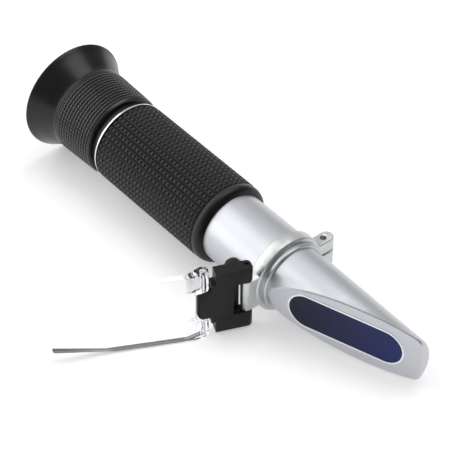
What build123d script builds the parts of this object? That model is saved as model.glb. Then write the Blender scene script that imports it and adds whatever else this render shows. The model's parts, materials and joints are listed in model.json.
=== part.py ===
from build123d import *
import os
from math import acos, atan2, cos, degrees, hypot, radians, sin

# Antifreeze refractometer, in millimetres.
# It is built in the instrument's own frame and then laid on a table. In that frame X runs along
# the barrel from the eyecup to the prism's tip, the cover is hinged on the -Y side and the hinge
# pins stand along Z. The origin is on the axis, at the rear end of the barrel.

# Gaps between pieces that move past each other
running_gap = 0.05          # radial, of a pin in its hole or a tube in its bore
side_gap = 0.25             # beside a hinge knuckle, along its pin
end_gap = 0.1               # along the axis, at the flange of the lens tube
cover_gap = 0.3             # between the closed cover and the prism housing's face
cap_gap = 0.15              # between the screw cap and the barrel

# Barrel and grip
barrel_radius = 11.75
barrel_bore = 10.2
barrel_length = 79.3
grip_radius = 14.0
grip_length = 50.2          # to the front of its smooth lip
grip_nose = 1.8             # how far the rounded nose runs on from the lip
grip_nose_wall = 0.35       # rubber left at the end of the nose
grip_lip_length = 1.9
grip_lip_drop = 0.1         # the lip is a little lower than the ribs
grip_rib_count = 54
grip_rib_depth = 0.55
grip_rib_slope = 0.9        # half a groove's width for each millimetre of depth
grip_ring_thickness = 0.5
grip_ring_inset = 0.06      # the bright ring is this much lower than the grip

# Threaded neck behind the barrel, on which the focus ring screws
neck_radius = 12.6
neck_length = 14.0
neck_spigot = 6.0           # length of the part inside the barrel
neck_groove_width = 1.1
neck_groove_depth = 0.7
neck_chamfer = 0.5

# Focus ring, at the middle of its travel
focus_gap = 3.4             # from the grip's rear end to the ring
focus_length = 17.1
focus_front_radius = 14.4
focus_rear_radius = 14.9
focus_edge = 1.0
flange_thickness = 1.7
spigot_radius = 12.4        # carries the eyecup
spigot_length = 4.0
spigot_wall = 1.7

# Focusing motion
focus_lead = 4.0            # travel of the ring in one turn
focus_turn = 200.0          # degrees each way

# Eyecup
cup_length = 10.8
cup_rim_radius = 19.0
cup_rim_edge = 0.7          # thickness of the rubber at the rim
cup_waist = 0.5             # how far the outside curves in from a straight cone
cup_lip = 0.9               # rubber that folds over the end of the spigot

# Lens tube
tube_radius = 8.8
tube_bore = 7.6
tube_front = 8.0            # its front end, measured from the barrel's rear end
tube_flange_radius = 10.4
tube_flange_length = 1.6
tube_lip = 1.0
snap_ring_radius = 9.9
snap_ring_width = 1.0
snap_groove_depth = 0.5
guide_pin_radius = 0.8
guide_pin_place = 3.0
guide_slot_depth = 0.8
guide_pin_end_gap = 0.2

# Lenses
field_lens_edge = 2.0
field_lens_bulge = 1.6
eye_lens_edge = 2.0
eye_lens_bulge = 1.3
lens_spacer_length = 17.1
lens_seat = 1.0             # flat band round each lens
lens_ring_wall = 0.9
lens_retainer_length = 2.5

# Reticle
reticle_place = 25.0
reticle_thickness = 1.5
reticle_radius = 8.0
reticle_lip = 1.0
reticle_cell_length = 7.0
reticle_ring_length = 2.5
reticle_ring_wall = 0.8

# Objective on its bimetal strip
carrier_length = 6.0
carrier_radius = 6.5
carrier_flat = 6.0          # distance of its flat from the axis
objective_radius = 4.5
objective_edge = 2.0
objective_bulge = 0.8
strip_thickness = 0.8
strip_width = 5.0
strip_gap = 7.5             # from the reticle's cell to the strip's fixed end
anchor_length = 5.0
anchor_width = 6.0

# Calibration screw, square to the barrel on the hinge side
screw_setback = 11.8        # from the barrel's front end
screw_angle = 5.0           # degrees above the hinge line
screw_radius = 1.5
screw_head_radius = 2.2
screw_head_height = 0.9
screw_head_depth = 0.95     # top of the head below the barrel's surface
screw_tip_gap = 0.1
screw_slot_width = 0.6
screw_slot_depth = 0.5
bush_radius = 3.1
bush_height = 2.9
cap_radius = 3.5
cap_height = 2.4
cap_edge = 1.6
cap_plug_depth = 0.8

# Prism housing: a round bar with a spigot and a flange, cut by one long slanting plane
head_radius = 10.8
head_tip_radius = 10.0      # it tapers a little from the flange to its end
head_length = 52.4
head_end_round = 2.6
head_flange_radius = 11.6
head_flange_length = 1.9
head_flange_edge = 0.5
head_spigot = 7.0
head_wall = 1.5
face_slope = 18.4           # degrees between the face and the barrel's axis
face_tip_height = 5.23      # of the face above the axis, where tip_back is measured
tip_back = 1.7              # from the end of the housing to that place
face_edge = 0.35
light_radius = 5.5
seal_groove_width = 1.4
seal_groove_place = 3.6     # from the flange to the middle of the groove
seal_width = 1.2
seal_thickness = 1.1

# Prism window in the slanting face
window_length = 38.5
window_width = 12.0
window_to_tip = 4.8         # from the window's end to the face's tip
window_rise = 0.1           # the glass and its rim stand this much proud
prism_rim_width = 0.6
prism_rim_depth = 0.8
prism_depth = 20.0

# Split clamp ring with a hinge tab and a screw lug
ring_radius = 13.05
ring_width = 4.5
ring_edge = 0.4
ring_split = 1.0
tab_height = 11.6
tab_thickness = 3.6
tab_pin_distance = 15.4     # from the axis to the hinge pin
lug_reach = 18.8
lug_top = 4.7
lug_bottom = 5.8
lug_edge = 0.5
lug_screw_distance = 15.2
lug_screw_radius = 1.05
lug_screw_sunk = 1.7
lug_head_radius = 1.9
lug_head_height = 1.6
lug_socket_radius = 0.9
lug_socket_depth = 0.8

# Hinge link
pin_radius = 0.75
pin_sunk = 0.5              # each pin ends this far inside its hole
link_length = 13.7          # from pin to pin
link_height = 24.2
link_thickness = 3.8
link_web_start = 4.4        # from the first pin
link_web_end = 10.0
link_wall_start = 2.0
link_wall_end = 3.6
link_wall = 0.9
tongue_height = 11.0
shoulder_length = 1.4
shoulder_height = 15.6
ear_corner = 1.2
tongue_corner = 1.8
link_open = -113.0          # direction of the link as it lies open, degrees from +X
link_fold_back = 20.0       # how much further it opens

# Clear cover plate
cover_thickness = 1.8
cover_length = 46.0         # from its pin
cover_taper_start = 27.0
cover_height = 26.2
cover_tip_height = 20.8
cover_corner = 1.2
cover_root = 2.3            # from the pin to the plate's edge at the tongue
cover_ear_length = 5.0
cover_open = -118.2         # direction of the cover as it lies open, degrees from +X
cover_fold_back = 40.0      # how much further it swings outwards on the link

# Places along the axis that follow from the sizes
neck_front = -grip_ring_thickness
neck_rear = neck_front - neck_length
focus_front = -focus_gap
focus_rear = focus_front - focus_length
flange_front = focus_rear + flange_thickness
spigot_rear = focus_rear - spigot_length
spigot_bore = spigot_radius - spigot_wall
tube_rear = focus_rear - end_gap - tube_flange_length
cup_rim = focus_rear - cup_length
ring_middle = barrel_length - ring_width / 2
screw_place = barrel_length - screw_setback
strip_rear = reticle_place - reticle_lip + reticle_cell_length + strip_gap
head_end = barrel_length + head_length
flange_end = barrel_length + head_flange_length
slope = radians(face_slope)
tip_x = head_end - tip_back


def turned(*outline):
    """A body turned about the barrel's axis from an outline of (x, radius) points."""
    return revolve(make_face(Polyline(*outline, close=True)), Axis.X)


def tube(start, end, outer, inner):
    """A plain ring or tube on the barrel's axis."""
    return turned((start, inner), (start, outer), (end, outer), (end, inner))


def rod(start, end, radius):
    """A plain round bar on the barrel's axis."""
    return Pos(start, 0, 0) * extrude(Plane.YZ * Circle(radius), end - start)


def post(x, y, bottom, top, radius):
    """A round bar that stands along Z."""
    return Pos(x, y, bottom) * extrude(Circle(radius), top - bottom)


def slab(x0, x1, y0, y1, z0, z1):
    """A rectangular block between two corners."""
    return Pos((x0 + x1) / 2, (y0 + y1) / 2, (z0 + z1) / 2) * Box(x1 - x0, y1 - y0, z1 - z0)


def lens_face(place, bulge, radius):
    """Outline of a lens's face from its edge in to the axis, flat if it has no bulge."""
    if bulge == 0:
        return Line((place, radius), (place, 0))
    curve = (radius ** 2 + bulge ** 2) / (2 * bulge)
    half = atan2(radius, abs(curve - bulge)) / 2
    middle = (place + bulge - curve * (1 - cos(half)), abs(curve) * sin(half))
    return ThreePointArc((place, radius), middle, (place + bulge, 0))


def lens(rear, edge, radius, rear_bulge, front_bulge):
    """A round lens with a flat seat round each face."""
    front = rear + edge
    dome = radius - lens_seat
    outline = [
        lens_face(rear, -rear_bulge, dome),
        Polyline((rear, dome), (rear, radius), (front, radius), (front, dome)),
        lens_face(front, front_bulge, dome),
        Line((rear - rear_bulge, 0), (front + front_bulge, 0)),
    ]
    return revolve(make_face(outline), Axis.X)


# Barrel, grip and neck

def make_barrel():
    wall = tube(0, barrel_length, barrel_radius, barrel_bore)
    return wall - screw_frame() * post(0, 0, barrel_bore / 2, 2 * barrel_radius, bush_radius)


def make_grip():
    lip_rear = grip_length - grip_lip_length
    lip_radius = grip_radius - grip_lip_drop
    nose_end = grip_length + grip_nose
    nose_radius = barrel_radius + grip_nose_wall
    shoulder = (grip_length + 0.72 * grip_nose, nose_radius + 0.72 * (lip_radius - nose_radius))
    outline = [
        Polyline((grip_length, lip_radius), (lip_rear, lip_radius), (lip_rear, grip_radius),
                 (0, grip_radius), (0, barrel_radius), (nose_end, barrel_radius), (nose_end, nose_radius)),
        ThreePointArc((nose_end, nose_radius), shoulder, (grip_length, lip_radius)),
    ]
    sleeve = revolve(make_face(outline), Axis.X)
    top = grip_radius + grip_rib_depth
    mouth = grip_rib_slope * 2 * grip_rib_depth
    groove = Plane.YZ * Polygon((grip_radius - grip_rib_depth, 0), (top, -mouth), (top, mouth), align=None)
    groove = extrude(groove, lip_rear)
    return sleeve - [Rot(X=360 * rib / grip_rib_count) * groove for rib in range(grip_rib_count)]


def make_grip_ring():
    return tube(-grip_ring_thickness, 0, grip_radius - grip_ring_inset, barrel_bore)


def make_neck():
    groove_rear = neck_front - neck_groove_width
    groove_radius = neck_radius - neck_groove_depth
    neck_bore = tube_radius + running_gap
    body = turned(
        (neck_rear, neck_bore), (neck_rear, neck_radius - neck_chamfer), (neck_rear + neck_chamfer, neck_radius),
        (groove_rear, neck_radius), (groove_rear, groove_radius), (neck_front, groove_radius),
        (neck_front, barrel_bore), (neck_spigot, barrel_bore), (neck_spigot, neck_bore))
    return body - guide_pin_bar(neck_bore / 2)


# Eyepiece

def make_focus_ring():
    thread_bore = neck_radius + running_gap
    flange_bore = tube_radius + running_gap
    flange_rear = focus_rear + end_gap
    ring = turned(
        (focus_front, thread_bore), (flange_front, thread_bore), (flange_front, flange_bore),
        (flange_rear, flange_bore), (flange_rear, spigot_bore), (spigot_rear, spigot_bore),
        (spigot_rear, spigot_radius), (focus_rear, spigot_radius), (focus_rear, focus_rear_radius),
        (focus_front, focus_front_radius))
    front_rim = ring.edges().filter_by(GeomType.CIRCLE).sort_by(Axis.X)[-2:].sort_by(SortBy.RADIUS)[-1]
    return fillet(front_rim, focus_edge)


def make_eyecup():
    seat_end = spigot_rear - cup_lip
    inner_rim = cup_rim_radius - cup_rim_edge
    middle = ((focus_rear + cup_rim) / 2, (focus_rear_radius + cup_rim_radius) / 2 - cup_waist)
    outline = [
        ThreePointArc((focus_rear, focus_rear_radius), middle, (cup_rim, cup_rim_radius)),
        Polyline((cup_rim, cup_rim_radius), (cup_rim, inner_rim), (seat_end, spigot_bore),
                 (spigot_rear, spigot_bore), (spigot_rear, spigot_radius), (focus_rear, spigot_radius),
                 (focus_rear, focus_rear_radius)),
    ]
    return revolve(make_face(outline), Axis.X)


def make_ocular_tube():
    lip_rear = tube_front - tube_lip
    lip_bore = tube_bore - lens_ring_wall
    flange_end_x = tube_rear + tube_flange_length
    body = turned(
        (tube_rear, tube_bore), (tube_rear, tube_flange_radius), (flange_end_x, tube_flange_radius),
        (flange_end_x, tube_radius), (tube_front, tube_radius), (tube_front, lip_bore),
        (lip_rear, lip_bore), (lip_rear, tube_bore))
    groove_rear = flange_front + end_gap
    groove = tube(groove_rear, groove_rear + snap_ring_width, 2 * tube_radius, tube_radius - snap_groove_depth)
    reach = focus_lead * focus_turn / 360 + guide_pin_radius + running_gap
    half_width = guide_pin_radius + running_gap
    slot = slab(guide_pin_place - reach, guide_pin_place + reach, -half_width, half_width,
                tube_radius - guide_slot_depth, 2 * tube_radius)
    return body - groove - slot


def guide_pin_bar(bottom):
    return post(guide_pin_place, 0, bottom, barrel_bore, guide_pin_radius)


def make_guide_pin():
    bar = guide_pin_bar(tube_radius - guide_slot_depth + guide_pin_end_gap)
    return bar & rod(0, 2 * guide_pin_place, barrel_bore)


def make_snap_ring():
    rear = flange_front + end_gap
    ring = tube(rear, rear + snap_ring_width, snap_ring_radius, tube_radius - snap_groove_depth)
    mouth = slab(rear, rear + snap_ring_width, 0, 2 * snap_ring_radius, -snap_ring_width, snap_ring_width)
    return ring - mouth


def lens_stack():
    """Rear ends of the field lens, the spacer, the eye lens and its retainer."""
    field_rear = tube_front - tube_lip - field_lens_edge
    spacer_rear = field_rear - lens_spacer_length
    eye_rear = spacer_rear - eye_lens_edge
    return field_rear, spacer_rear, eye_rear, eye_rear - lens_retainer_length


def make_field_lens():
    return lens(lens_stack()[0], field_lens_edge, tube_bore, field_lens_bulge, 0)


def make_lens_spacer():
    field_rear, spacer_rear = lens_stack()[:2]
    return tube(spacer_rear, field_rear, tube_bore, tube_bore - lens_ring_wall)


def make_eye_lens():
    return lens(lens_stack()[2], eye_lens_edge, tube_bore, eye_lens_bulge, eye_lens_bulge)


def make_lens_retainer():
    eye_rear, rear = lens_stack()[2:]
    ring = tube(rear, eye_rear, tube_bore, tube_bore - lens_ring_wall)
    notch = slab(rear, rear + 0.4 * lens_retainer_length, -2 * tube_bore, 2 * tube_bore,
                 -lens_ring_wall / 2, lens_ring_wall / 2)
    return ring - notch


# Reticle and objective inside the barrel

def make_reticle_cell():
    start = reticle_place - reticle_lip
    return turned(
        (start, reticle_radius - reticle_ring_wall), (start, barrel_bore),
        (start + reticle_cell_length, barrel_bore), (start + reticle_cell_length, reticle_radius),
        (reticle_place, reticle_radius), (reticle_place, reticle_radius - reticle_ring_wall))


def make_reticle():
    return rod(reticle_place, reticle_place + reticle_thickness, reticle_radius)


def make_reticle_retainer():
    start = reticle_place + reticle_thickness
    return tube(start, start + reticle_ring_length, reticle_radius, reticle_radius - reticle_ring_wall)


def make_lens_carrier():
    rear = screw_place - carrier_length / 2
    front = rear + carrier_length
    ring = tube(rear, front, carrier_radius, objective_radius)
    return ring - slab(rear, front, carrier_flat, 2 * carrier_radius, -carrier_radius, carrier_radius)


def make_objective_lens():
    return lens(screw_place - objective_edge / 2, objective_edge, objective_radius, objective_bulge, objective_bulge)


def make_bimetal_strip():
    front = screw_place + carrier_length / 2
    return slab(strip_rear, front, carrier_flat, carrier_flat + strip_thickness, -strip_width / 2, strip_width / 2)


def make_strip_anchor():
    front = strip_rear + anchor_length
    block = slab(strip_rear, front, carrier_flat + strip_thickness, barrel_radius, -anchor_width / 2, anchor_width / 2)
    return block & rod(strip_rear, front, barrel_bore)


# Calibration screw, its bush and its cap, each built upright and then set into the barrel's side

def screw_frame():
    """Turns +Z into the screw's direction, out of the barrel on the hinge side."""
    return Pos(screw_place, 0, 0) * Rot(X=90 - screw_angle)


def screw_head_top():
    return barrel_radius - screw_head_depth


def make_screw_bush():
    top = (barrel_radius ** 2 - bush_radius ** 2) ** 0.5
    shelf = screw_head_top() - screw_head_height - running_gap
    bush = post(0, 0, top - bush_height, top, bush_radius)
    bush -= post(0, 0, shelf, top, screw_head_radius + running_gap)
    bush -= post(0, 0, top - bush_height, shelf, screw_radius + running_gap)
    return screw_frame() * bush


def make_calibration_screw():
    top = screw_head_top()
    screw = post(0, 0, top - screw_head_height, top, screw_head_radius)
    screw += post(0, 0, carrier_radius + screw_tip_gap, top - screw_head_height, screw_radius)
    screw -= slab(-screw_head_radius, screw_head_radius, -screw_slot_width / 2, screw_slot_width / 2,
                  top - screw_slot_depth, top)
    return screw_frame() * screw


def make_screw_cap():
    dome = fillet(post(0, 0, 0, barrel_radius + cap_height, cap_radius).edges().sort_by(Axis.Z)[-1], cap_edge)
    dome -= rod(-cap_radius, cap_radius, barrel_radius + cap_gap)
    plug = post(0, 0, barrel_radius - cap_plug_depth, barrel_radius + cap_height / 2, screw_head_radius)
    return screw_frame() * (dome + plug)


# Prism housing

def face_plane():
    """The slanting face: its X runs towards the tip, its Z out of the metal, its origin at the tip."""
    return Plane(origin=(tip_x, face_tip_height, 0), x_dir=(cos(slope), sin(slope), 0),
                 z_dir=(sin(slope), -cos(slope), 0))


def window_outline(grow):
    middle = -window_to_tip - window_length / 2
    straight = window_length - window_width
    return Pos(middle, 0) * SlotCenterToCenter(straight, window_width + 2 * grow)


def make_main_prism():
    block = Pos(0, 0, window_rise) * extrude(window_outline(0), -prism_depth)
    inside = rod(barrel_length, head_end - head_end_round - head_wall, head_tip_radius - head_wall)
    outside = Pos(0, 0, window_rise) * extrude(window_outline(0), -prism_rim_depth)
    return (face_plane().location * block & inside) + face_plane().location * outside


def make_prism_rim():
    rim = extrude(window_outline(prism_rim_width), -prism_rim_depth)
    return face_plane().location * (Pos(0, 0, window_rise) * rim) - make_main_prism()


def make_head():
    bar = turned((flange_end, 0), (flange_end, head_radius), (head_end, head_tip_radius), (head_end, 0))
    bar = fillet(bar.edges().filter_by(GeomType.CIRCLE).sort_by(Axis.X)[-1], head_end_round)
    above = Pos(-head_length / 2, 0, head_length / 2) * Box(3 * head_length, 3 * head_length, head_length)
    bar -= face_plane().location * above
    face = bar.faces().filter_by(GeomType.PLANE).sort_by(SortBy.AREA)[-1]
    bar = chamfer(face.edges().filter_by(lambda edge: edge.center().X > flange_end + face_edge), face_edge)
    flange = rod(barrel_length, flange_end, head_flange_radius)
    flange = fillet(flange.edges().filter_by(GeomType.CIRCLE).sort_by(Axis.X)[-1], head_flange_edge)
    spigot = rod(barrel_length - head_spigot, barrel_length, barrel_bore)
    seal_middle = barrel_length - seal_groove_place
    groove = tube(seal_middle - seal_groove_width / 2, seal_middle + seal_groove_width / 2,
                  2 * barrel_bore, barrel_bore - seal_thickness)
    window_x = tip_x - (window_to_tip + window_length - window_width / 2) * cos(slope)
    light_path = rod(barrel_length - head_spigot, window_x, light_radius)
    return bar + flange + spigot - groove - light_path - make_main_prism() - make_prism_rim()


def make_head_seal():
    middle = barrel_length - seal_groove_place
    return tube(middle - seal_width / 2, middle + seal_width / 2, barrel_bore, barrel_bore - seal_thickness)


# Clamp ring

def plan_arm(distance, width):
    """Plan of an arm from inside the ring out to a rounded end at this distance from the axis."""
    side = 1 if distance > 0 else -1
    reach = abs(distance) - width / 2
    bar = Pos(ring_middle, side * (reach + barrel_bore) / 2) * Rectangle(width, reach - barrel_bore)
    return bar + Pos(ring_middle, side * reach) * Circle(width / 2)


def make_clamp_ring():
    rear = ring_middle - ring_width / 2
    band = rod(rear, rear + ring_width, ring_radius)
    band = chamfer(band.edges().filter_by(GeomType.CIRCLE), ring_edge)
    lug = Pos(0, 0, -lug_bottom) * extrude(plan_arm(lug_reach, ring_width), lug_top + lug_bottom)
    lug = fillet(lug.edges().filter_by(Plane.XY).group_by(Axis.Z)[-1].sort_by(Axis.Y)[-1], lug_edge)
    tab_reach = tab_pin_distance + tab_thickness / 2
    tab = Pos(0, 0, -tab_height / 2) * extrude(plan_arm(-tab_reach, tab_thickness), tab_height)
    split = slab(rear, rear + ring_width, barrel_bore, 2 * lug_reach, -ring_split / 2, ring_split / 2)
    ring = band + lug + tab - rod(rear, rear + ring_width, barrel_radius) - split
    ring -= post(ring_middle, lug_screw_distance, -lug_bottom, lug_top, lug_screw_radius)
    return ring - post(ring_middle, -tab_pin_distance, -tab_height / 2, tab_height / 2, pin_radius)


def make_clamp_screw():
    bottom = -lug_bottom - lug_head_height
    screw = post(ring_middle, lug_screw_distance, -lug_bottom, lug_top - lug_screw_sunk, lug_screw_radius)
    screw += post(ring_middle, lug_screw_distance, bottom, -lug_bottom, lug_head_radius)
    socket = extrude(RegularPolygon(lug_socket_radius, 6), lug_socket_depth)
    return screw - Pos(ring_middle, lug_screw_distance, bottom) * socket


# Hinge link and cover, each built flat along +X from its first pin with its outer side towards -Y

def link_frame():
    return Pos(ring_middle, -tab_pin_distance, 0) * Rot(Z=link_open)


def cover_frame():
    return link_frame() * Pos(link_length, 0, 0) * Rot(Z=cover_open - link_open)


def face_offset():
    """Distance from the line of both hinge pins to the housing's face when the cover is closed."""
    away = Vector(ring_middle - tip_x, -tab_pin_distance - face_tip_height, 0)
    return away.dot(face_plane().z_dir)


def mirrored_profile(upper):
    """A face in XZ from its upper outline, listed from the pin end to the far end."""
    lower = [(s, -z) for s, z in upper]
    return Plane.XZ * make_face(Polyline(*lower, *reversed(upper), close=True))


def rounded(profile, places, radius):
    """Rounds the corners of an XZ profile that stand at these (x, z) places, above and below."""
    near = [v for v in profile.vertices()
            if any(abs(v.X - s) < 0.01 and abs(abs(v.Z) - z) < 0.01 for s, z in places)]
    return fillet(near, radius)


def make_hinge_link():
    half = link_thickness / 2
    top = link_height / 2
    pocket = tab_height / 2 + side_gap
    tongue = tongue_height / 2
    tongue_end = link_length + half
    shoulder_end = link_web_end + shoulder_length
    shoulder = shoulder_height / 2
    profile = mirrored_profile([
        (link_web_start, pocket), (-half, pocket), (-half, top), (link_web_end, top), (link_web_end, shoulder),
        (shoulder_end, shoulder), (shoulder_end, tongue), (tongue_end, tongue)])
    profile = rounded(profile, [(-half, top), (-half, pocket)], ear_corner)
    profile = rounded(profile, [(tongue_end, tongue)], tongue_corner)
    face_on = extrude(profile, half, both=True)
    plan = Pos(link_length / 2, 0) * SlotCenterToCenter(link_length, link_thickness)
    link = face_on & extrude(plan, top, both=True)
    link += slab(link_wall_start, link_wall_end, -half, link_wall - half, -pocket, pocket)
    link -= post(0, 0, -top, top, pin_radius + running_gap)
    link -= post(link_length, 0, -tongue, tongue, pin_radius)
    return link_frame() * link


def make_daylight_plate():
    inner = face_offset() - cover_gap
    outer = inner - cover_thickness
    top = cover_height / 2
    outline = mirrored_profile([
        (cover_root, top), (cover_taper_start, top), (cover_length, cover_tip_height / 2)])
    outline = rounded(outline, [(cover_length, cover_tip_height / 2)], cover_corner)
    plate = Pos(0, inner, 0) * extrude(outline, cover_thickness)
    root = Pos((cover_root + cover_ear_length) / 2, (inner + outer) / 2)
    knuckle = link_thickness / 2
    root_face = root * Rectangle(cover_ear_length - cover_root, cover_thickness)
    ear_plan = make_hull(Circle(knuckle).edges() + root_face.edges())
    ear_bottom = tongue_height / 2 + side_gap
    for side in (1, -1):
        ear = extrude(ear_plan, top - ear_bottom, dir=(0, 0, side))
        plate += Pos(0, 0, side * ear_bottom) * ear
    return cover_frame() * (plate - post(0, 0, -top, top, pin_radius + running_gap))


def make_tab_pin():
    half = link_height / 2 - pin_sunk
    return link_frame() * post(0, 0, -half, half, pin_radius)


def make_plate_pin():
    half = cover_height / 2 - pin_sunk
    return link_frame() * post(link_length, 0, -half, half, pin_radius)


# Laying the instrument down: it rests on the eyecup's rim, the clamp ring and the cover's lower edge

def table_radius(x):
    """Distance from the axis to the table under it, on the line from the rim to the clamp ring."""
    foot_x = barrel_length - ring_edge
    share = (x - cup_rim) / (foot_x - cup_rim)
    return cup_rim_radius + (ring_radius - cup_rim_radius) * share


def resting_turn():
    pitch = degrees(atan2(table_radius(0) - table_radius(1), 1))
    corner = (cover_frame() * Pos(0, 0, -cover_height / 2)).position
    reach = hypot(corner.Y, corner.Z)
    below = table_radius(corner.X + link_thickness / 2)
    roll = degrees(atan2(corner.Y, corner.Z) + acos(-below / reach))
    return Rot(Y=pitch) * Rot(X=roll)


PIECES = {
    "barrel": make_barrel,
    "grip": make_grip,
    "grip_ring": make_grip_ring,
    "rear_neck": make_neck,
    "guide_pin": make_guide_pin,
    "reticle_cell": make_reticle_cell,
    "reticle": make_reticle,
    "reticle_retainer": make_reticle_retainer,
    "strip_anchor": make_strip_anchor,
    "bimetal_strip": make_bimetal_strip,
    "lens_carrier": make_lens_carrier,
    "objective_lens": make_objective_lens,
    "screw_bush": make_screw_bush,
    "calibration_screw": make_calibration_screw,
    "screw_cap": make_screw_cap,
    "head": make_head,
    "head_seal": make_head_seal,
    "main_prism": make_main_prism,
    "prism_rim": make_prism_rim,
    "clamp_ring": make_clamp_ring,
    "clamp_screw": make_clamp_screw,
    "tab_pin": make_tab_pin,
    "hinge_link": make_hinge_link,
    "plate_pin": make_plate_pin,
    "daylight_plate": make_daylight_plate,
    "ocular_tube": make_ocular_tube,
    "snap_ring": make_snap_ring,
    "field_lens": make_field_lens,
    "lens_spacer": make_lens_spacer,
    "eye_lens": make_eye_lens,
    "lens_retainer": make_lens_retainer,
    "focus_ring": make_focus_ring,
    "eyecup": make_eyecup,
}


def report(name, place):
    """Prints a point and the direction of local Z there, in the table's frame."""
    axis = Plane(place).z_dir
    point = place.position
    print(f"{name}: at {point.X:.4f} {point.Y:.4f} {point.Z:.4f} along {axis.X:.6f} {axis.Y:.6f} {axis.Z:.6f}")


solids = {name: resting_turn() * make() for name, make in PIECES.items()}
extent = Compound(list(solids.values())).bounding_box()
to_table = Pos(-extent.center().X, -extent.center().Y, -extent.min.Z)
os.makedirs("parts", exist_ok=True)
for name, solid in solids.items():
    export_step(to_table * solid, f"parts/{name}.step")

stand = to_table * resting_turn()
print("size", extent.size)
report("barrel_axis", stand * Rot(Y=90))
report("link_hinge", stand * link_frame())
report("plate_hinge", stand * cover_frame())
report("calibration_screw", stand * screw_frame())
report("eyecup_rim", stand * Pos(cup_rim, 0, 0) * Rot(Y=-90))
print("closing turns:", face_slope - link_open, cover_open - link_open)
print("travel each way:", focus_lead * focus_turn / 360)
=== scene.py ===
import json
import math

import bmesh
import bpy
from mathutils import Euler, Matrix, Vector


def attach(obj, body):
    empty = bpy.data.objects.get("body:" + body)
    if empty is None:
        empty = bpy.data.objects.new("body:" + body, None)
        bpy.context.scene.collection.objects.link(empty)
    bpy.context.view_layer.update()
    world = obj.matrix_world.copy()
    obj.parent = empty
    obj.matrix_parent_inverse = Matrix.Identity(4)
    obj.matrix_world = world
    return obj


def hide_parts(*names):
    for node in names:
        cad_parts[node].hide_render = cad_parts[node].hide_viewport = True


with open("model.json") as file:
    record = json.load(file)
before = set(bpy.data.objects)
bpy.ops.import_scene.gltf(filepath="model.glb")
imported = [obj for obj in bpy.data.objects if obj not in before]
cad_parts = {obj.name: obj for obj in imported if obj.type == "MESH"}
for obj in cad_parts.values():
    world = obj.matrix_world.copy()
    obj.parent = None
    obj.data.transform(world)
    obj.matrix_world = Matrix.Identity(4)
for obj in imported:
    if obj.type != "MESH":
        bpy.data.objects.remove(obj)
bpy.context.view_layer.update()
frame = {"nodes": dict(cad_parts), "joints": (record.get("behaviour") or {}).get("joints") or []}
cadNodes = frame["nodes"]
print("frame loaded,", len(cadNodes), "nodes")

# The instrument's own frame, found again from its joints, in millimetres: X runs along the barrel from
# the eyecup to the prism, Y towards the clamp's lug, Z along the hinge pins, 0 is the grip's rear end.
hinge = {"tabPin": (77.05, -15.4, 0), "linkTurn": -113.0, "linkLength": 13.7, "plateTurn": -5.2}
joints = {joint["name"]: joint for joint in frame["joints"]}
barrelWay = Vector(joints["focus_travel"]["axis"]).normalized()
pinWay = Vector(joints["link_hinge"]["axis"]).normalized()
lugWay = pinWay.cross(barrelWay).normalized()
lieDown = Matrix((barrelWay, lugWay, barrelWay.cross(lugWay))).transposed()
zeroPoint = Vector(joints["link_hinge"]["pos_m"]) - lieDown @ Vector(hinge["tabPin"]) * 0.001
atInstrument = Matrix.Translation(zeroPoint) @ lieDown.to_4x4() @ Matrix.Scale(0.001, 4)


class Wire:
    # one output socket, on which + - * add Math nodes to its material
    def __init__(self, paint, socket):
        self.paint = paint
        self.socket = socket

    def maths(self, operation, first, second):
        return self.paint.node("ShaderNodeMath", {"operation": operation}, {0: first, 1: second})

    def __add__(self, other):
        return self.maths("ADD", self, other)

    def __sub__(self, other):
        return self.maths("SUBTRACT", self, other)

    def __rsub__(self, other):
        return self.maths("SUBTRACT", other, self)

    def __mul__(self, other):
        return self.maths("MULTIPLY", self, other)

    def larger(self, other):
        return self.maths("MAXIMUM", self, other)

    __radd__ = __add__
    __rmul__ = __mul__


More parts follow.
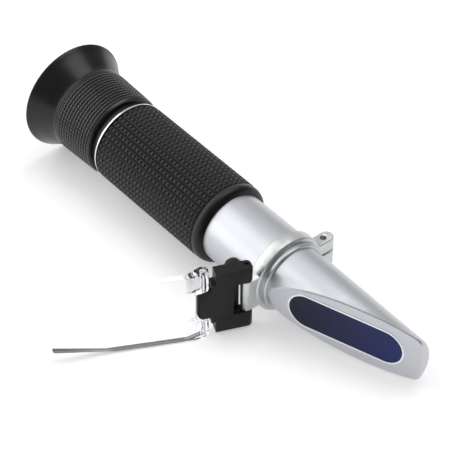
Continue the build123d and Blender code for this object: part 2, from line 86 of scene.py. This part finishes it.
class Paint:
    # a material, or the world, that is built node by node
    def __init__(self, owner, shader="Principled BSDF"):
        owner.use_nodes = True
        self.owner = owner
        self.tree = owner.node_tree
        self.shader = self.tree.nodes[shader]

    def node(self, kind, settings, values, out=0):
        made = self.tree.nodes.new(kind)
        for key, value in settings.items():
            if key == "stops":
                ramp = made.color_ramp.elements
                while len(ramp) < len(value):
                    ramp.new(1.0)
                for element, (place, colour) in zip(ramp, value):
                    element.position = place
                    element.color = colour
            else:
                setattr(made, key, value)
        self.feed(made, values)
        return Wire(self, made.outputs[out])

    def feed(self, made, values):
        for key, value in values.items():
            if isinstance(value, Wire):
                self.tree.links.new(value.socket, made.inputs[key])
            else:
                made.inputs[key].default_value = value

    def surface(self, values):
        self.feed(self.shader, values)
        return self.owner

    def millimetres(self):
        # the instrument's own millimetres, from Object coordinates
        return self.node("ShaderNodeMapping", {"vector_type": "TEXTURE"}, {
            "Vector": self.node("ShaderNodeTexCoord", {}, {}, "Object"),
            "Location": zeroPoint, "Rotation": lieDown.to_euler(), "Scale": (0.001, 0.001, 0.001)})

    def noise(self, place, perMillimetre, detail=2.0):
        return self.node("ShaderNodeTexNoise", {}, {
            "Vector": place, "Scale": perMillimetre, "Detail": detail})

    def mix(self, amount, first, second):
        return self.node("ShaderNodeMix", {"data_type": "RGBA"}, {0: amount, 6: first, 7: second}, 2)

    def ramp(self, value, start, end, low=0.0, high=1.0):
        # runs smoothly from low to high while the value goes from start to end
        return self.node("ShaderNodeMapRange", {"interpolation_type": "SMOOTHSTEP"}, {
            "Value": value, "From Min": start, "From Max": end, "To Min": low, "To Max": high})

    def bump(self, height, depth):
        return self.node("ShaderNodeBump", {}, {"Height": height, "Distance": depth * 0.001})

    def ray(self, kind):
        # 1 for rays of this kind, from the one Light Path node
        path = self.tree.nodes.get("Light Path") or self.tree.nodes.new("ShaderNodeLightPath")
        return Wire(self, path.outputs[kind])

    def seenRay(self):
        # 1 for rays that the camera sees, also through the clear pieces
        return self.ray("Is Camera Ray").larger(self.ray("Is Transmission Ray"))

    def along(self, place, axis):
        return self.node("ShaderNodeSeparateXYZ", {}, {"Vector": place}, axis)


def opaque(colour):
    return (*colour, 1.0)


white = opaque((1.0, 1.0, 1.0))

# In all looks colours are linear, depth is the height of the grain in millimetres, and patches, grain,
# turning, clouds and smears say how fine a noise is, per millimetre.
finishes = {
    "cupRubber": {
        "dark": (0.004, 0.004, 0.0045), "light": (0.008, 0.008, 0.0085), "metallic": 0.0, "shine": 0.38,
        "roughness": 0.3, "roughSpread": 0.1, "patches": 0.15, "grain": 5.0, "depth": 0.012},
    "linkPlastic": {
        "dark": (0.005, 0.005, 0.0055), "light": (0.011, 0.011, 0.012), "metallic": 0.0, "shine": 0.2,
        "roughness": 0.42, "roughSpread": 0.14, "patches": 0.25, "grain": 6.0, "depth": 0.02},
    "capRubber": {
        "dark": (0.005, 0.005, 0.0055), "light": (0.01, 0.01, 0.011), "metallic": 0.0, "shine": 0.25,
        "roughness": 0.5, "roughSpread": 0.14, "patches": 0.3, "grain": 6.0, "depth": 0.015},
    "sealRubber": {
        "dark": (0.012, 0.012, 0.012), "light": (0.02, 0.02, 0.02), "metallic": 0.0, "shine": 0.5,
        "roughness": 0.55, "roughSpread": 0.1, "patches": 0.3, "grain": 5.0, "depth": 0.01},
    "castMetal": {
        "dark": (0.52, 0.54, 0.535), "light": (0.66, 0.675, 0.665), "metallic": 1.0, "shine": 0.5,
        "roughness": 0.38, "roughSpread": 0.14, "patches": 0.45, "grain": 5.0, "depth": 0.02},
    "brightAluminium": {
        "dark": (0.74, 0.76, 0.80), "light": (0.86, 0.87, 0.90), "metallic": 1.0, "shine": 0.5,
        "roughness": 0.2, "roughSpread": 0.08, "patches": 0.5, "grain": 8.0, "depth": 0.004},
    "blackAluminium": {
        "dark": (0.012, 0.012, 0.014), "light": (0.022, 0.022, 0.024), "metallic": 0.3, "shine": 0.5,
        "roughness": 0.38, "roughSpread": 0.1, "patches": 0.3, "grain": 8.0, "depth": 0.006},
    "steel": {
        "dark": (0.42, 0.42, 0.43), "light": (0.58, 0.58, 0.59), "metallic": 1.0, "shine": 0.5,
        "roughness": 0.3, "roughSpread": 0.12, "patches": 0.8, "grain": 10.0, "depth": 0.006},
    "blackSteel": {
        "dark": (0.010, 0.010, 0.011), "light": (0.022, 0.022, 0.023), "metallic": 0.5, "shine": 0.5,
        "roughness": 0.4, "roughSpread": 0.12, "patches": 0.8, "grain": 10.0, "depth": 0.006},
    "stripMetal": {
        "dark": (0.48, 0.44, 0.36), "light": (0.62, 0.58, 0.5), "metallic": 1.0, "shine": 0.5,
        "roughness": 0.32, "roughSpread": 0.12, "patches": 0.6, "grain": 8.0, "depth": 0.006},
    "brass": {
        "dark": (0.55, 0.39, 0.17), "light": (0.72, 0.54, 0.28), "metallic": 1.0, "shine": 0.5,
        "roughness": 0.3, "roughSpread": 0.12, "patches": 0.6, "grain": 8.0, "depth": 0.006},
}


def grainedPaint(name, look):
    # two tones in soft patches, a fine grain in the bump and both of them in the roughness
    paint = Paint(bpy.data.materials.new(name))
    place = paint.millimetres()
    patches = paint.noise(place, look["patches"], 3.0)
    grain = paint.noise(place, look["grain"])
    spread = look["roughSpread"]
    return paint.surface({
        "Base Color": paint.mix(patches, opaque(look["dark"]), opaque(look["light"])),
        "Metallic": look["metallic"],
        "Roughness": look["roughness"] + spread * (patches - 0.5) + 0.5 * spread * (grain - 0.5),
        "Specular IOR Level": look["shine"],
        "Normal": paint.bump(grain, look["depth"]),
    })


# Low and high are radii in millimetres, between which the colour runs from the painted shade of the valleys
# to the crowns, and taper is how much the radius grows per millimetre rearwards.
wornAndShadedLooks = {
    "gripRubber": {
        "valley": (0.0015, 0.0015, 0.002), "crown": (0.015, 0.0145, 0.019), "worn": (0.042, 0.041, 0.049),
        "taper": 0.0, "low": 13.4, "high": 14.05, "shine": 0.3,
        "roughness": 0.4, "roughSpread": 0.2, "patches": 0.12, "grain": 4.0, "depth": 0.03},
    "focusPlastic": {
        "valley": (0.002, 0.002, 0.003), "crown": (0.026, 0.025, 0.030), "worn": (0.050, 0.049, 0.056),
        "taper": 0.0337, "low": 13.98, "high": 14.2, "shine": 0.55,
        "roughness": 0.36, "roughSpread": 0.14, "patches": 0.2, "grain": 5.0, "depth": 0.012},
}


def wornAndShadedPaint(name, look):
    # darker in the grooves and paler on the crowns by radius: painted shade in the grooves and painted light
    # on the crowns, with worn patches on the crowns where the hand rubs
    paint = Paint(bpy.data.materials.new(name))
    place = paint.millimetres()
    patches = paint.noise(place, look["patches"], 3.0)
    grain = paint.noise(place, look["grain"])
    x, y, z = (paint.along(place, axis) for axis in "XYZ")
    radius = paint.node("ShaderNodeMath", {"operation": "SQRT"}, {0: y * y + z * z})
    # the radius sets the painted shade and light: dark in the grooves, pale on the crowns
    height = (radius + look["taper"] * x - look["low"]) * (1 / (look["high"] - look["low"]))
    height = paint.node("ShaderNodeClamp", {}, {"Value": height})
    crown = paint.mix(patches, opaque(look["crown"]), opaque(look["worn"]))
    return paint.surface({
        "Base Color": paint.mix(height, opaque(look["valley"]), crown),
        "Roughness": look["roughness"] + look["roughSpread"] * (patches - 0.5),
        "Specular IOR Level": look["shine"],
        "Normal": paint.bump(grain, look["depth"]),
    })


satin = {
    "satinAluminium": {
        "dark": (0.50, 0.51, 0.545), "light": (0.60, 0.61, 0.64), "ringShare": 0.4,
        "roughness": 0.37, "roughSpread": 0.1, "patches": 0.08, "grain": 3.0, "turning": 2.2, "depth": 0.006},
}


def satinPaint(name, look):
    # anodised metal: fine grain, and faint rings that the lathe left round the barrel's axis
    paint = Paint(bpy.data.materials.new(name))
    place = paint.millimetres()
    patches = paint.noise(place, look["patches"], 3.0)
    grain = paint.noise(place, look["grain"], 4.0)
    rings = paint.node("ShaderNodeTexNoise", {"noise_dimensions": "1D"}, {
        "W": paint.along(place, "X"), "Scale": look["turning"], "Detail": 3.0})
    tone = (1 - look["ringShare"]) * patches + look["ringShare"] * rings
    return paint.surface({
        "Base Color": paint.mix(tone, opaque(look["dark"]), opaque(look["light"])),
        "Metallic": 1.0,
        "Roughness": look["roughness"] + look["roughSpread"] * (grain - 0.5),
        "Normal": paint.bump(grain + rings, look["depth"]),
    })


# The glass is painted from its start to its end along the barrel, by way of the middle: dark at the rear as
# painted shade, brighter blue towards the front as painted light.
prismLooks = {
    "prismGlass": {
        "rear": (0.010, 0.012, 0.026), "middle": (0.012, 0.018, 0.075), "front": (0.014, 0.027, 0.15),
        "start": 88.0, "end": 128.0, "middleShare": 0.45, "clouds": 0.25, "cloudShare": 0.12,
        "smears": 0.4, "roughness": 0.05, "roughSpread": 0.06, "index": 1.5, "shine": 0.15},
}


def prismPaint(name, look):
    # blue glass with painted shade at its rear end and painted light, brighter blue, towards the front
    paint = Paint(bpy.data.materials.new(name))
    place = paint.millimetres()
    share = (paint.along(place, "X") - look["start"]) * (1 / (look["end"] - look["start"]))
    share = share + look["cloudShare"] * (paint.noise(place, look["clouds"]) - 0.5)
    stops = [(0.0, opaque(look["rear"])), (look["middleShare"], opaque(look["middle"])),
             (1.0, opaque(look["front"]))]
    return paint.surface({
        "Base Color": paint.node("ShaderNodeValToRGB", {"stops": stops}, {"Fac": share}),
        "Roughness": look["roughness"] + look["roughSpread"] * paint.noise(place, look["smears"], 3.0),
        "IOR": look["index"],
        "Specular IOR Level": look["shine"],
    })


clearLooks = {
    "clearAcrylic": {
        "dark": (0.93, 0.94, 0.95), "light": (0.98, 0.98, 0.985), "roughness": 0.0, "roughSpread": 0.03,
        "smears": 0.1, "shadowLoss": 0.9, "index": 1.3},
    "lensGlass": {
        "dark": (0.88, 0.92, 0.93), "light": (0.93, 0.96, 0.97), "roughness": 0.0, "roughSpread": 0.02,
        "smears": 0.2, "shadowLoss": 0.8, "index": 1.52},
}


def clearPaint(name, look):
    # clear stock: light passes it, and its shadow stays faint
    paint = Paint(bpy.data.materials.new(name))
    smears = paint.noise(paint.millimetres(), look["smears"], 3.0)
    return paint.surface({
        "Base Color": paint.mix(smears, opaque(look["dark"]), opaque(look["light"])),
        "Roughness": look["roughness"] + look["roughSpread"] * smears,
        "Alpha": 1 - look["shadowLoss"] * paint.ray("Is Shadow Ray"),
        "Transmission Weight": 1.0,
        "IOR": look["index"],
    })


rimLooks = {
    # painted light: the glow of the matt rim beyond the ears
    "frostedRimPaintedGlow": {
        "dark": (0.93, 0.93, 0.94), "light": (0.99, 0.99, 0.99), "roughness": 0.5, "roughSpread": 0.2,
        "grain": 1.5, "glow": 0.14},
    # painted shade: the grey of the strip along the edge on which the plate lies
    "paintedShadeRim": {
        "dark": (0.27, 0.27, 0.29), "light": (0.40, 0.40, 0.43), "roughness": 0.6, "roughSpread": 0.2,
        "grain": 1.5, "glow": 0.0},
}


def rimPaint(name, look):
    # matt acrylic, finely scratched; its glow is painted light, standing in for the light that the plate
    # gathers, and the grey copy is painted shade
    paint = Paint(bpy.data.materials.new(name))
    scratches = paint.noise(paint.millimetres(), look["grain"], 3.0)
    return paint.surface({
        "Base Color": paint.mix(scratches, opaque(look["dark"]), opaque(look["light"])),
        "Roughness": look["roughness"] + look["roughSpread"] * (scratches - 0.5),
        "Emission Color": white,
        "Emission Strength": look["glow"],
    })


materials = {}
for makePaint, looks in ((grainedPaint, finishes), (wornAndShadedPaint, wornAndShadedLooks), (satinPaint, satin),
                         (prismPaint, prismLooks), (clearPaint, clearLooks), (rimPaint, rimLooks)):
    for name, look in looks.items():
        materials[name] = makePaint(name, look)
print("materials built,", len(materials))


def addPiece(name, made, settings):
    # turns a finished bmesh, in the instrument's frame, into a piece that stands for a CAD node
    bmesh.ops.remove_doubles(made, verts=made.verts, dist=1e-5)
    bmesh.ops.recalc_face_normals(made, faces=made.faces)
    bmesh.ops.transform(made, matrix=atInstrument, verts=made.verts)
    mesh = bpy.data.meshes.new(name)
    made.to_mesh(mesh)
    made.free()
    mesh.shade_smooth()
    mesh.set_sharp_from_angle(angle=math.radians(settings["sharp"]))
    mesh.materials.append(materials[settings["material"]])
    piece = bpy.data.objects.new(name, mesh)
    bpy.context.scene.collection.objects.link(piece)
    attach(piece, settings["body"])
    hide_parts(settings["node"])
    return piece


def lathe(outline, steps):
    # spins a closed outline of (x, radius) points round the barrel's axis
    made = bmesh.new()
    points = [made.verts.new((x, 0.0, radius)) for x, radius in outline]
    lines = [made.edges.new(pair) for pair in zip(points, points[1:] + points[:1])]
    bmesh.ops.spin(made, geom=points + lines, axis=(1, 0, 0), cent=(0, 0, 0), dvec=(0, 0, 0),
                   angle=math.tau, steps=steps, use_merge=True, use_duplicate=False)
    bmesh.ops.recalc_face_normals(made, faces=made.faces)
    return made


def bandFaces(made, start, end, inner, outer, lean=0.05):
    # faces level with the axis, with their middle in this stretch of it and this band of radius
    found = []
    for face in made.faces:
        middle = face.calc_center_median()
        radius = math.hypot(middle.y, middle.z)
        if start < middle.x < end and inner < radius < outer and abs(face.normal.x) < lean:
            found.append(face)
    return found


# Front is the smooth lip and the nose. Ridge and steps are sides and heights: of a ridge along the grip,
# and of the steps of a bump on it. Turn is in degrees, sameWay is the cosine within which faces are in line.
grip = {
    "node": "grip", "body": "body", "material": "gripRubber", "slot": "black_rubber", "sharp": 50.0,
    "bore": 11.8, "valley": 13.15, "valleyBand": 0.1, "rowsStart": 0.25, "rowsEnd": 48.6, "rows": 28,
    "around": 39, "turn": 4.4, "sameWay": 0.999,
    "front": [(48.61, 13.7), (48.8, 13.9), (50.0, 13.9), (51.1, 13.55), (51.7, 12.6), (52.0, 12.1)],
    "ridge": (0.355, 0.42), "steps": ((0.12, 0.0), (0.17, 0.4), (0.12, 0.1)),
}


def makeGrip():
    # ridges run along the grip, and each carries a row of stepped bumps
    start, end, valley = grip["rowsStart"], grip["rowsEnd"], grip["valley"]
    pitch = (end - start) / grip["rows"]
    rows = [(start + row * pitch, valley) for row in range(grip["rows"] + 1)]
    noseEnd = grip["front"][-1][0]
    outline = [(0, grip["bore"]), (0, valley), *rows, *grip["front"], (noseEnd, grip["bore"])]
    made = lathe(outline, grip["around"])
    bumps = bandFaces(made, start, end, valley - grip["valleyBand"], valley + grip["valleyBand"])
    side, height = grip["ridge"]
    for column in range(grip["around"]):
        angle = math.tau * (column + 0.5) / grip["around"]
        way = Vector((0, math.sin(angle), math.cos(angle)))
        ridge = [face for face in bumps if face.normal.dot(way) > grip["sameWay"]]
        bmesh.ops.inset_region(made, faces=ridge, thickness=side, depth=height,
                               use_boundary=True, use_even_offset=True)
    for side, height in grip["steps"]:
        bmesh.ops.inset_individual(made, faces=bumps, thickness=side, depth=height, use_even_offset=True)
    turned = Matrix.Rotation(math.radians(grip["turn"]), 4, "X")
    bmesh.ops.transform(made, matrix=turned, verts=made.verts)
    addPiece("gripSleeve", made, grip)


makeGrip()

# Groove and foot are depths below the crowns, flank is a share of the pitch. The teeth stand on the foot,
# each with a flat gap round it and a slanting side.
knurl = {
    "node": "focus_ring", "body": "focus", "material": "focusPlastic", "slot": "black_plastic", "sharp": 35.0,
    "front": [(-3.4, 12.65), (-3.4, 13.4), (-3.62, 13.95), (-4.1, 14.25), (-4.6, 14.38)],
    "ringsStart": -4.9, "rings": 12, "pitch": 1.2375, "frontRadius": 14.4, "rearRadius": 14.9, "around": 66,
    "groove": 0.5, "foot": 0.26, "flank": 0.12, "gap": 0.1, "side": 0.14, "footBand": (13.95, 14.9),
    "shoulder": 14.45,
    "rear": [(-19.95, 14.7), (-20.35, 14.72), (-20.5, 14.55), (-20.5, 12.4), (-24.5, 12.4), (-24.5, 10.7),
             (-20.4, 10.7), (-20.4, 8.85), (-18.8, 8.85), (-18.8, 12.65)],
}


def makeFocusRing():
    # toothed rings side by side, on a body that widens towards the eyecup
    outline = list(knurl["front"])
    pitch = knurl["pitch"]
    flank = knurl["flank"] * pitch
    growth = (knurl["rearRadius"] - knurl["frontRadius"]) / knurl["rings"]
    for ring in range(knurl["rings"]):
        start = knurl["ringsStart"] - ring * pitch
        radius = knurl["frontRadius"] + growth * ring
        foot = radius - knurl["foot"]
        outline += [(start, radius - knurl["groove"]), (start - flank, foot), (start - pitch + flank, foot)]
    ringsEnd = knurl["ringsStart"] - knurl["rings"] * pitch
    made = lathe([*outline, (ringsEnd, knurl["shoulder"]), *knurl["rear"]], knurl["around"])
    teeth = bandFaces(made, ringsEnd, knurl["ringsStart"], *knurl["footBand"])
    for side, height in ((knurl["gap"], 0), (knurl["side"], knurl["foot"])):
        bmesh.ops.inset_individual(made, faces=teeth, thickness=side, depth=height, use_even_offset=True)
    addPiece("focusKnurl", made, knurl)


makeFocusRing()

cup = {
    "node": "eyecup", "body": "focus", "material": "cupRubber", "slot": "black_rubber", "sharp": 180.0,
    "around": 72, "levels": 2,
    "root": [(-20.5, 12.4), (-20.5, 14.6), (-20.6, 14.7), (-21.0, 14.7), (-21.15, 14.45)],
    "outside": [(-22.7, 14.7), (-25.9, 16.15), (-29.1, 17.8), (-30.5, 18.86)],
    "rim": [(-31.05, 18.98), (-31.3, 18.8), (-31.3, 18.3), (-30.95, 18.1)],
    "inside": [(-28.4, 15.3), (-25.9, 11.9), (-25.4, 11.0), (-25.3, 10.7), (-24.5, 10.7), (-24.5, 12.4)],
}


def makeEyecup():
    outline = cup["root"] + cup["outside"] + cup["rim"] + cup["inside"]
    piece = addPiece("eyecupRubber", lathe(outline, cup["around"]), cup)
    rounding = piece.modifiers.new("rounding", "SUBSURF")
    rounding.levels = cup["levels"]
    rounding.render_levels = cup["levels"]


makeEyecup()
print("grip, focus ring and eyecup modelled")

# Edge is the width of the rounding in millimetres. Faces within the flat angle are joined, and edges
# sharper than the round angle are rounded, both in degrees.
softEdges = {"flat": 1.0, "round": 30.0, "merge": 2e-6}
softPieces = {
    "hingeLink": {
        "node": "hinge_link", "body": "link", "material": "linkPlastic", "slot": "black_plastic",
        "sharp": 180.0, "edge": 0.35, "segments": 3},
    "clampBand": {
        "node": "clamp_ring", "body": "body", "material": "castMetal", "slot": "cast_metal",
        "sharp": 180.0, "edge": 0.22, "segments": 2},
    "clearPlate": {
        "node": "daylight_plate", "body": "cover", "material": "clearAcrylic", "slot": "clear_plastic",
        "sharp": 180.0, "edge": 0.25, "segments": 3},
}


def makeSoftened(name, settings):
    # a merged copy of a CAD node whose edges a Bevel rounds
    made = bmesh.new()
    made.from_mesh(cadNodes[settings["node"]].data)
    bmesh.ops.remove_doubles(made, verts=made.verts, dist=softEdges["merge"])
    bmesh.ops.dissolve_limit(made, angle_limit=math.radians(softEdges["flat"]),
                             verts=made.verts, edges=made.edges)
    bmesh.ops.transform(made, matrix=atInstrument.inverted(), verts=made.verts)
    piece = addPiece(name, made, settings)
    rounding = piece.modifiers.new("softEdges", "BEVEL")
    rounding.width = settings["edge"] * 0.001
    rounding.segments = settings["segments"]
    rounding.limit_method = "ANGLE"
    rounding.angle_limit = math.radians(softEdges["round"])
    rounding.harden_normals = True
    return piece


softened = {name: makeSoftened(name, settings) for name, settings in softPieces.items()}

# Straight and tapered are the widths of the strip painted grey as shade along the two stretches of the lower
# edge.
# Broad is how squarely a face has to look along the plate's thickness to stay clear.
plateRim = {"earEnd": 6.0, "shadeStripStart": 1.5, "straight": 0.7, "tapered": 0.12, "near": 0.01, "broad": 0.5}


def divide(made, place, way):
    bmesh.ops.bisect_plane(made, geom=made.verts[:] + made.edges[:] + made.faces[:], dist=1e-4,
                           plane_co=place, plane_no=way)


def frostRim(piece):
    # the sawn rim is matt beyond the ears and carries a painted glow, and a strip along the edge on which the
    # plate lies is painted grey as shade; in the plate's own frame X runs from its pin to its free end, Y
    # through its thickness and Z along its pin
    atLink = Matrix.Translation(hinge["tabPin"]) @ Matrix.Rotation(math.radians(hinge["linkTurn"]), 4, "Z")
    onLink = Matrix.Rotation(math.radians(hinge["plateTurn"]), 4, "Z")
    atPlate = atInstrument @ atLink @ Matrix.Translation((hinge["linkLength"], 0, 0)) @ onLink
    made = bmesh.new()
    made.from_mesh(piece.data)
    bmesh.ops.transform(made, matrix=atPlate.inverted(), verts=made.verts)
    divide(made, (plateRim["earEnd"], 0, 0), (1, 0, 0))
    places = [vertex.co for vertex in made.verts]
    low = min(place.z for place in places)
    bend = max(place.x for place in places if place.z < low + plateRim["near"])
    end = max(place.x for place in places)
    tip = min(place.z for place in places if place.x > end - plateRim["near"])
    corner = Vector((bend, 0, low))
    slope = Vector((tip - low, 0, bend - end)).normalized()
    strips = ((Vector((0, 0, -1)), plateRim["straight"]), (slope, plateRim["tapered"]))
    for way, width in strips:
        divide(made, corner - way * width, way)
    for face in made.faces:
        middle = face.calc_center_median()
        # faces in the strips along the lower edge get the grey of painted shade
        inShadeStrip = any((middle - corner).dot(way) > -width for way, width in strips)
        if inShadeStrip and middle.x > plateRim["shadeStripStart"]:
            face.material_index = 2
        elif middle.x > plateRim["earEnd"] and abs(face.normal.y) < plateRim["broad"]:
            face.material_index = 1
    bmesh.ops.transform(made, matrix=atPlate, verts=made.verts)
    made.to_mesh(piece.data)
    made.free()
    piece.data.materials.append(materials["frostedRimPaintedGlow"])
    piece.data.materials.append(materials["paintedShadeRim"])


frostRim(softened["clearPlate"])
print("link, clamp band and plate modelled")

nodeFinish = {
    "barrel": "satinAluminium", "head": "satinAluminium", "grip_ring": "brightAluminium",
    "prism_rim": "brightAluminium", "main_prism": "prismGlass", "rear_neck": "blackAluminium",
    "reticle_cell": "blackAluminium", "reticle_retainer": "blackAluminium", "strip_anchor": "blackAluminium",
    "lens_carrier": "blackAluminium", "ocular_tube": "blackAluminium", "lens_spacer": "blackAluminium",
    "lens_retainer": "blackAluminium", "bimetal_strip": "stripMetal", "screw_bush": "brass",
    "guide_pin": "steel", "calibration_screw": "steel", "clamp_screw": "steel", "tab_pin": "blackSteel",
    "plate_pin": "brightAluminium", "snap_ring": "steel", "reticle": "lensGlass",
    "objective_lens": "lensGlass", "field_lens": "lensGlass", "eye_lens": "lensGlass",
    "screw_cap": "capRubber", "head_seal": "sealRubber", "grip": "gripRubber", "focus_ring": "focusPlastic",
    "eyecup": "cupRubber", "hinge_link": "linkPlastic", "clamp_ring": "castMetal",
    "daylight_plate": "clearAcrylic",
}
for name, node in cadNodes.items():
    node.data.materials.clear()
    node.data.materials.append(materials[nodeFinish[name]])
print("finishes given to", len(cadNodes), "nodes")

# The floor turns white from whiteStart to whiteEnd, in metres from its middle.
floorLook = {"size": 6.0, "colour": (0.8, 0.8, 0.8), "glow": (0.34, 0.34, 0.34),
             "whiteStart": 0.2, "whiteEnd": 0.8}


def makeFloor():
    made = bmesh.new()
    bmesh.ops.create_grid(made, x_segments=1, y_segments=1, size=floorLook["size"] / 2)
    mesh = bpy.data.meshes.new("floor")
    made.to_mesh(mesh)
    made.free()
    floor = bpy.data.objects.new("floor", mesh)
    bpy.context.scene.collection.objects.link(floor)
    paint = Paint(bpy.data.materials.new("floorPaint"))
    place = paint.node("ShaderNodeTexCoord", {}, {}, "Object")
    distance = paint.node("ShaderNodeVectorMath", {"operation": "LENGTH"}, {0: place}, "Value")
    outside = paint.ramp(distance, floorLook["whiteStart"], floorLook["whiteEnd"])
    mesh.materials.append(paint.surface({
        "Base Color": opaque(floorLook["colour"]),
        "Roughness": 1.0,
        "Specular IOR Level": 0.0,
        "Emission Color": paint.mix(outside, opaque(floorLook["glow"]), white),
        "Emission Strength": paint.seenRay().larger(paint.ray("Is Glossy Ray")),
    }))


# Metal and rubber show a pale wall behind the instrument, along -X, and a dark room on the camera's side.
room = {"wallWay": (-1.0, 0.0, 0.1), "wallStart": 0.15, "wallEnd": 0.5, "wall": 0.68, "dark": 0.22,
        "ambient": 0.5}


def makeRoom():
    world = bpy.data.worlds.new("studioWorld")
    bpy.context.scene.world = world
    paint = Paint(world, "Background")
    way = paint.node("ShaderNodeTexCoord", {}, {}, "Generated")
    towards = paint.node("ShaderNodeVectorMath", {"operation": "DOT_PRODUCT"}, {
        0: way, 1: room["wallWay"]}, "Value")
    reflected = paint.ramp(towards, room["wallStart"], room["wallEnd"], room["dark"], room["wall"])
    seen = paint.seenRay()
    glossy = paint.ray("Is Glossy Ray") * (1 - seen)
    plain = (1 - seen) * (1 - glossy)
    paint.surface({"Color": white, "Strength": seen + glossy * reflected + plain * room["ambient"]})


# Places are in metres on the table, 0 is below the middle of the instrument.
lamps = {
    "topPanel": {"place": (0.02, 0.42, 1.12), "size": 0.82, "watts": 4.9},
    "backPanel": {"place": (-0.85, -0.35, 0.85), "size": 1.0, "watts": 4.6},
    "sidePanel": {"place": (-0.8, -1.0, 0.4), "size": 0.8, "watts": 3.2},
}


def makeLamp(name, lamp):
    light = bpy.data.lights.new(name, "AREA")
    light.size = lamp["size"]
    light.energy = lamp["watts"]
    panel = bpy.data.objects.new(name, light)
    panel.location = lamp["place"]
    panel.rotation_euler = (-Vector(lamp["place"])).to_track_quat("-Z", "Y").to_euler()
    bpy.context.scene.collection.objects.link(panel)


# The camera stands in the instrument's frame, in millimetres and degrees; nearest is in metres.
view = {"place": (434.687, -319.920, 465.924), "turn": (46.914, -0.395, 50.330),
        "lens": 167.45, "sensor": 36.0, "nearest": 0.01}


def makeCamera():
    camera = bpy.data.cameras.new("photoCamera")
    camera.sensor_width = view["sensor"]
    camera.lens = view["lens"]
    camera.clip_start = view["nearest"]
    stand = bpy.data.objects.new("photoCamera", camera)
    turn = Euler([math.radians(angle) for angle in view["turn"]]).to_matrix()
    stand.matrix_world = Matrix.Translation(atInstrument @ Vector(view["place"])) @ (lieDown @ turn).to_4x4()
    bpy.context.scene.collection.objects.link(stand)
    bpy.context.scene.camera = stand


makeFloor()
makeRoom()
for name, lamp in lamps.items():
    makeLamp(name, lamp)
makeCamera()
bpy.context.scene.view_settings.view_transform = "Standard"
print("studio, lamps and camera placed")
